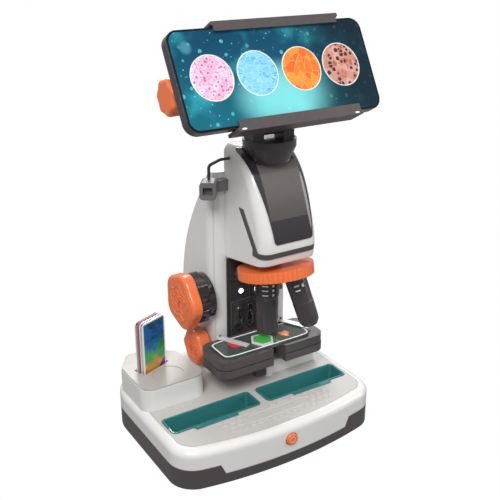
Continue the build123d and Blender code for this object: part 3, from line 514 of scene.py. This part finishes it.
def hexDistance(x, y):
    row = np.round(y / rowStep)
    best = np.full_like(x, 99.0)
    chosen = np.zeros_like(x)
    for shift in (-1, 0, 1):
        rowHere = row + shift
        half = (np.abs(rowHere) % 2) * relief["pitch"] / 2
        column = np.round((x - half) / relief["pitch"])
        dx = np.abs(x - half - column * relief["pitch"])
        dy = np.abs(y - rowHere * rowStep)
        distance = np.maximum(dx, dx * 0.5 + dy * math.sqrt(3) / 2)
        nearer = distance < best
        best = np.where(nearer, distance, best)
        chosen = np.where(nearer, np.sin(column * 2.3 + rowHere * 1.7) + np.cos(column * 0.9 - rowHere * 2.1), chosen)
    return best, chosen


cellDistance, cellChoice = hexDistance(xs, ys + 50)
ridge = np.exp(-((cellDistance - relief["line"]) / 0.38) ** 2) * (cellChoice > -0.5)
bow = -72.5 + 12 * (xs / 93) ** 2
edgeGap = np.minimum(ys - bow - 9.0, relief["rear"] - ys)
edgeGap = np.minimum(edgeGap, relief["halfX"] - np.abs(xs) - 0.3 * np.abs(ys + 50))
capsule = np.hypot(np.maximum(np.abs(xs - 4) - 24, 0), ys + 50) - 4.6
capsuleRidge = np.exp(-(capsule / 0.5) ** 2)
plateau = 1 / (1 + np.exp(capsule * 4))
field = ridge * (capsule > 1.4) * (np.abs(xs - 4) < 52) + capsuleRidge + 0.25 * plateau
field = field * np.clip(edgeGap / 1.5, 0, 1)
lift = relief["z"] + 0.03 + relief["height"] * field
sunk = np.zeros_like(lift, bool)
sunk[0, :] = sunk[-1, :] = sunk[:, 0] = sunk[:, -1] = True
lift = np.where(sunk, relief["z"] - 0.2, lift)
addPiece("deckRelief", np.stack([xs, ys, lift], axis=-1).reshape(-1, 3), gridFaces(380, 80).tolist(),
         deckGrey, "base", (0, 0, 1))

print("stage: knob faces")
capLow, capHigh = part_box("focus_cap")
fineLow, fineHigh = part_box("fine_knob")
knobs = {"focusSwirl": ("focus_cap", "focus", 18.2, capLow), "fineSwirl": ("fine_knob", "fine", 11.2, fineLow)}


def swirlHeight(limit, waves, tall):
    # Raised lines where the radius, bent by a wave round the face, crosses even steps; sunk at pole and border.
    def height(ring, angle):
        bent = ring / limit * 3.2 + 0.32 * np.sin(waves * angle + ring * 0.22) + 0.18 * np.sin(2 * angle - 1)
        line = np.exp(-((np.mod(bent, 1.0) - 0.5) / 0.10) ** 2)
        fade = np.clip((limit - ring) / 1.2, 0, 1)
        return -0.05 + tall * line * fade + 0.12 * fade
    return height


for label, (node, body, limit, low) in knobs.items():
    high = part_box(node)[1]
    centre = (low + high) / 2 / mm
    face = low.x / mm
    addDisc(label, onLeft(face, centre.y if label == "focusSwirl" else 38.5, 104 if label == "focusSwirl" else 58, ),
            np.linspace(0.6, limit, 70), swirlHeight(limit, 5, 0.75), orange, body, (-1, 0, 0), 220)

print("stage: screen discs")
discs = {"pinkDisc": (-56.0, pinkCells), "blueDisc": (-19.0, blueCells), "orangeDisc": (19.0, orangeShards),
         "brownDisc": (55.0, brownSpots)}
for label, (offset, material) in discs.items():
    addDisc(label, onScreen(hold["x"] + offset, 0.5, hold["thick"] + 0.03), np.linspace(1.0, 16.4, 14),
            lambda ring, angle: 0.10 - 0.10 * (ring / 16.4) ** 6, material, "phone", screenOut)
    addLoop(label + "Rim", onScreen(hold["x"] + offset, 0.5, hold["thick"] + 0.05), circle(16.5), 0.40, whitePaint,
            "phone", 0.5)

print("stage: stage dressing")
glassRim = {"x": 19.0, "y": 0.0, "z": 71.0, "halfX": 41.3, "halfY": 13.3}
addLoop("glassRim", onTop(glassRim["x"], glassRim["y"], glassRim["z"]),
        superRect(glassRim["halfX"], glassRim["halfY"], 9), 0.7, whitePaint, "stage", 0.4, 240)


def hexagon(angle):
    turned = np.mod(angle, math.pi / 3) - math.pi / 6
    return math.cos(math.pi / 6) / np.cos(turned)


addDisc("hexFace", onTop(18, -4, 72.6), np.linspace(0.8, 8.6, 12), lambda ring, angle: 0.25 - 0.25 * (ring / 8.6) ** 5,
        greenPlastic, "stage", (0, 0, 1), 96, hexagon)


def blob(angle):
    return 1 + 0.18 * np.sin(3 * angle) + 0.10 * np.cos(5 * angle + 1)


addDisc("specimenChip", onTop(41, -3, 71.0), np.linspace(0.5, 4.6, 10),
        lambda ring, angle: 0.55 * np.sqrt(np.clip(1 - (ring / 4.65) ** 4, 0, 1)), chipOrange, "stage",
        (0, 0, 1), 72, blob)


def teardrop(angle):
    return 1 + 0.45 * np.sin(angle) * (np.sin(angle) > 0) - 0.15 * np.sin(angle) ** 2 * (np.sin(angle) < 0)


ribs = {"ribOne": -17, "ribTwo": -6, "ribThree": 6, "ribFour": 17}
for label, offset in ribs.items():
    # Boss swelling from the rib's front, drawn out upward and downward by stretching its rings.
    addDisc(label, lambda side, up, out, x0=26 + offset: (x0 + side, 18.9 - out, 81.5 + up * 2.3),
            np.linspace(0.3, 3.6, 14), lambda ring, angle: 1.1 * np.sqrt(np.clip(1 - (ring / 3.62) ** 3, 0, 1)) - 0.05,
            glossBlack, "stage", (0, -1, 0), 64)

print("stage: barrels")
tiltSine, tiltCosine = math.sin(math.radians(12)), math.cos(math.radians(12))
turretFrame = {"origin": np.array([26.0, -12.0, 133.0]), "x": np.array([1.0, 0, 0]),
               "y": np.array([0, tiltCosine, -tiltSine]), "z": np.array([0, tiltSine, tiltCosine])}


def barrelFrame(azimuth):
    turn = math.radians(azimuth)
    lean = tiltSine * math.cos(turn) * turretFrame["x"] + tiltSine * math.sin(turn) * turretFrame["y"]
    axis = lean - tiltCosine * turretFrame["z"]
    start = turretFrame["origin"] + 14 * (math.cos(turn) * turretFrame["x"] + math.sin(turn) * turretFrame["y"])
    across = np.cross(axis, (0, 1.0, 0))
    across = across / np.linalg.norm(across)
    toward = np.cross(across, axis)
    return start, axis, across, toward


def addSleeve(name, azimuth, reaches, radiusAt, flutes, depth, material):
    # Sleeve round a barrel whose radius ripples round it; both ends sink into the barrel.
    start, axis, across, toward = barrelFrame(azimuth)
    reach = np.linspace(*reaches, 26)[:, None]
    angle = np.linspace(0, 2 * np.pi, 288, endpoint=False)[None, :]
    share = (reach - reaches[0]) / (reaches[1] - reaches[0])
    fade = np.clip(np.minimum(share, 1 - share) * 14, 0, 1)
    radius = radiusAt(reach) - 0.3 + fade * (0.3 + depth * np.abs(np.cos(flutes * angle / 2)))
    points = (start + reach[..., None] * axis + (radius * np.cos(angle))[..., None] * across
              + (radius * np.sin(angle))[..., None] * toward)
    return addPiece(name, points.reshape(-1, 3), gridFaces(26, 288, False, True).tolist(), material, "turret")


def addMark(name, azimuth, reaches, angles, radiusAt, material):
    # Small painted patch on a barrel, a hair above its surface.
    start, axis, across, toward = barrelFrame(azimuth)
    reach = np.linspace(*reaches, 6)[:, None]
    angle = np.radians(np.linspace(*angles, 10))[None, :]
    radius = radiusAt(reach) + 0.06
    points = (start + reach[..., None] * axis + (radius * np.cos(angle))[..., None] * across
              + (radius * np.sin(angle))[..., None] * toward)
    middle = math.radians(sum(angles) / 2)
    outward = math.cos(middle) * across + math.sin(middle) * toward
    return addPiece(name, points.reshape(-1, 3), gridFaces(6, 10).tolist(), material, "turret", outward)


nearRadius = lambda reach: np.where(reach < 19.1, 10.7 - 0.0105 * reach, np.where(reach < 22.3, 10.5, 9.9))
wideRadius = lambda reach: 9.0 - 0.8 * (reach - 5.5) / 36.8
addSleeve("wideGrip", -30, (24.0, 41.5), wideRadius, 26, 0.22, charcoalGloss)
barrelAim = {"near": 0, "wide": 0}


def facing(azimuth, target):
    # Angle round a barrel that looks along a direction.
    start, axis, across, toward = barrelFrame(azimuth)
    target = np.asarray(target, float)
    return math.degrees(math.atan2(target @ toward, target @ across))


barrelAim["near"] = facing(90, (-0.35, -0.93, 0))
barrelAim["wide"] = facing(-30, (-0.35, -0.93, 0))
marks = {
    "nearBarUpper": (90, (8.0, 9.0), -20, 14, nearRadius), "nearDotUpper": (90, (7.4, 9.6), 18, 5, nearRadius),
    "nearBarMiddle": (90, (12.2, 13.2), -20, 14, nearRadius), "nearDotMiddle": (90, (11.6, 13.8), 18, 5, nearRadius),
    "nearBarLower": (90, (16.4, 17.4), -20, 14, nearRadius), "nearDotLower": (90, (15.8, 18.0), 18, 5, nearRadius),
    "wideBarUpper": (-30, (9.0, 10.2), -14, 14, wideRadius), "wideBarLower": (-30, (13.0, 14.2), -14, 14, wideRadius),
    "wideDot": (-30, (9.0, 11.6), 20, 6, wideRadius),
}
for label, (azimuth, reaches, offset, half, radiusAt) in marks.items():
    centre = barrelAim["near" if azimuth == 90 else "wide"] + offset
    addMark(label, azimuth, reaches, (centre - half, centre + half), radiusAt, whitePaint)

print("stage: small trim")
# Small dome standing out of the column panel, and a bezel round it.
addDisc("ledDome", onFront(14.6, 22.4, 107.0), np.linspace(0.2, 2.0, 12),
        lambda ring, angle: 1.6 * np.sqrt(np.clip(1 - (ring / 2.02) ** 2, 0, 1)) - 2.0, lampGlow, "base",
        (0, -1, 0), 48)
addLoop("ledBezel", onFront(14.6, 24.3, 107.0), circle(2.6), 0.7, charcoalGloss, "base", 0.8, 60)
buttonLow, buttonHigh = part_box("power_button")
buttonCentre = (buttonLow + buttonHigh) / 2 / mm
addLoop("buttonRing", onFront(buttonCentre.x, buttonLow.y / mm, buttonCentre.z), circle(2.4), 0.35, ringOrange,
        "button", 0.6, 90)
jawBars = {"jawBarLowerLeft": ("holder", -23, -38.2), "jawBarLowerRight": ("holder", 76, -38.2)}
for label, (body, x0, up0) in jawBars.items():
    addDisc(label, lambda side, up, out, p=onScreen(x0, up0, 11.0): p(side, up * 0.35, out),
            np.linspace(0.2, 2.2, 8), lambda ring, angle: 0.16 - 0.2 * (ring / 2.2) ** 8, whitePaint, body,
            screenOut, 60)
trayTabs = {"tabLeft": ("tray_left", -46.0), "tabRight": ("tray_right", 46.0)}
for label, (body, x0) in trayTabs.items():
    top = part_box(body)[1].z / mm
    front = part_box(body)[0].y / mm
    # Shallow rounded pad on the tray's front rim.
    addDisc(label, lambda side, up, out, x0=x0, y0=front + 1.6, z0=top: (x0 + side, y0 + up * 0.13, z0 + out),
            np.linspace(0.3, 9.5, 10), lambda ring, angle: 0.30 * np.sqrt(np.clip(1 - (ring / 9.6) ** 6, 0, 1)) - 0.04,
            tealDark, body, (0, 0, 1), 72)

print("stage: light and camera")


def areaLight(name, place, aim, size, power, colour=(1, 1, 1)):
    data = bpy.data.lights.new(name, "AREA")
    data.shape = "DISK"
    data.size = size
    data.energy = power
    data.color = colour
    light = bpy.data.objects.new(name, data)
    light.location = place
    light.rotation_euler = (Vector(aim) - Vector(place)).to_track_quat("-Z", "Y").to_euler()
    scene.collection.objects.link(light)
    return light


areaLight("keyLight", (-0.55, -0.55, 0.95), (0, 0, 0.15), 0.5, 9.0)
areaLight("fillLight", (0.85, -0.55, 0.45), (0, 0, 0.15), 0.6, 3.0)
areaLight("rimLight", (0.35, 0.75, 0.75), (0, 0, 0.2), 0.5, 6.0)

world = bpy.data.worlds.new("studioWorld")
scene.world = world
world.use_nodes = True
tree = world.node_tree
tree.nodes.clear()
finalWorld = tree.nodes.new("ShaderNodeOutputWorld")
seen = tree.nodes.new("ShaderNodeBackground")
seen.inputs["Color"].default_value = (1, 1, 1, 1)
unseen = tree.nodes.new("ShaderNodeBackground")
direction = tree.nodes.new("ShaderNodeTexCoord")
parts = tree.nodes.new("ShaderNodeSeparateXYZ")
tree.links.new(direction.outputs["Generated"], parts.inputs[0])
overhead = ramp(tree, parts.outputs["Z"], -0.25, 0.8, 0.0, 1.0)
tree.links.new(mixColour(tree, overhead, (0.42, 0.42, 0.43), (1.0, 1.0, 1.0)), unseen.inputs["Color"])
unseen.inputs["Strength"].default_value = 0.66
chooser = tree.nodes.new("ShaderNodeMixShader")
rays = tree.nodes.new("ShaderNodeLightPath")
tree.links.new(rays.outputs["Is Camera Ray"], chooser.inputs[0])
tree.links.new(unseen.outputs[0], chooser.inputs[1])
tree.links.new(seen.outputs[0], chooser.inputs[2])
tree.links.new(chooser.outputs[0], finalWorld.inputs[0])
scene.view_settings.view_transform = "Standard"

cameraData = bpy.data.cameras.new("mainCamera")
cameraData.lens = 57.64
cameraData.sensor_width = 36
camera = bpy.data.objects.new("mainCamera", cameraData)
camera.location = (-0.30742, -0.50259, 0.39428)
camera.rotation_euler = (Vector((0.02041, 0.019, 0.14488)) - camera.location).to_track_quat("-Z", "Y").to_euler()
scene.collection.objects.link(camera)
scene.camera = camera

print("stage: done")
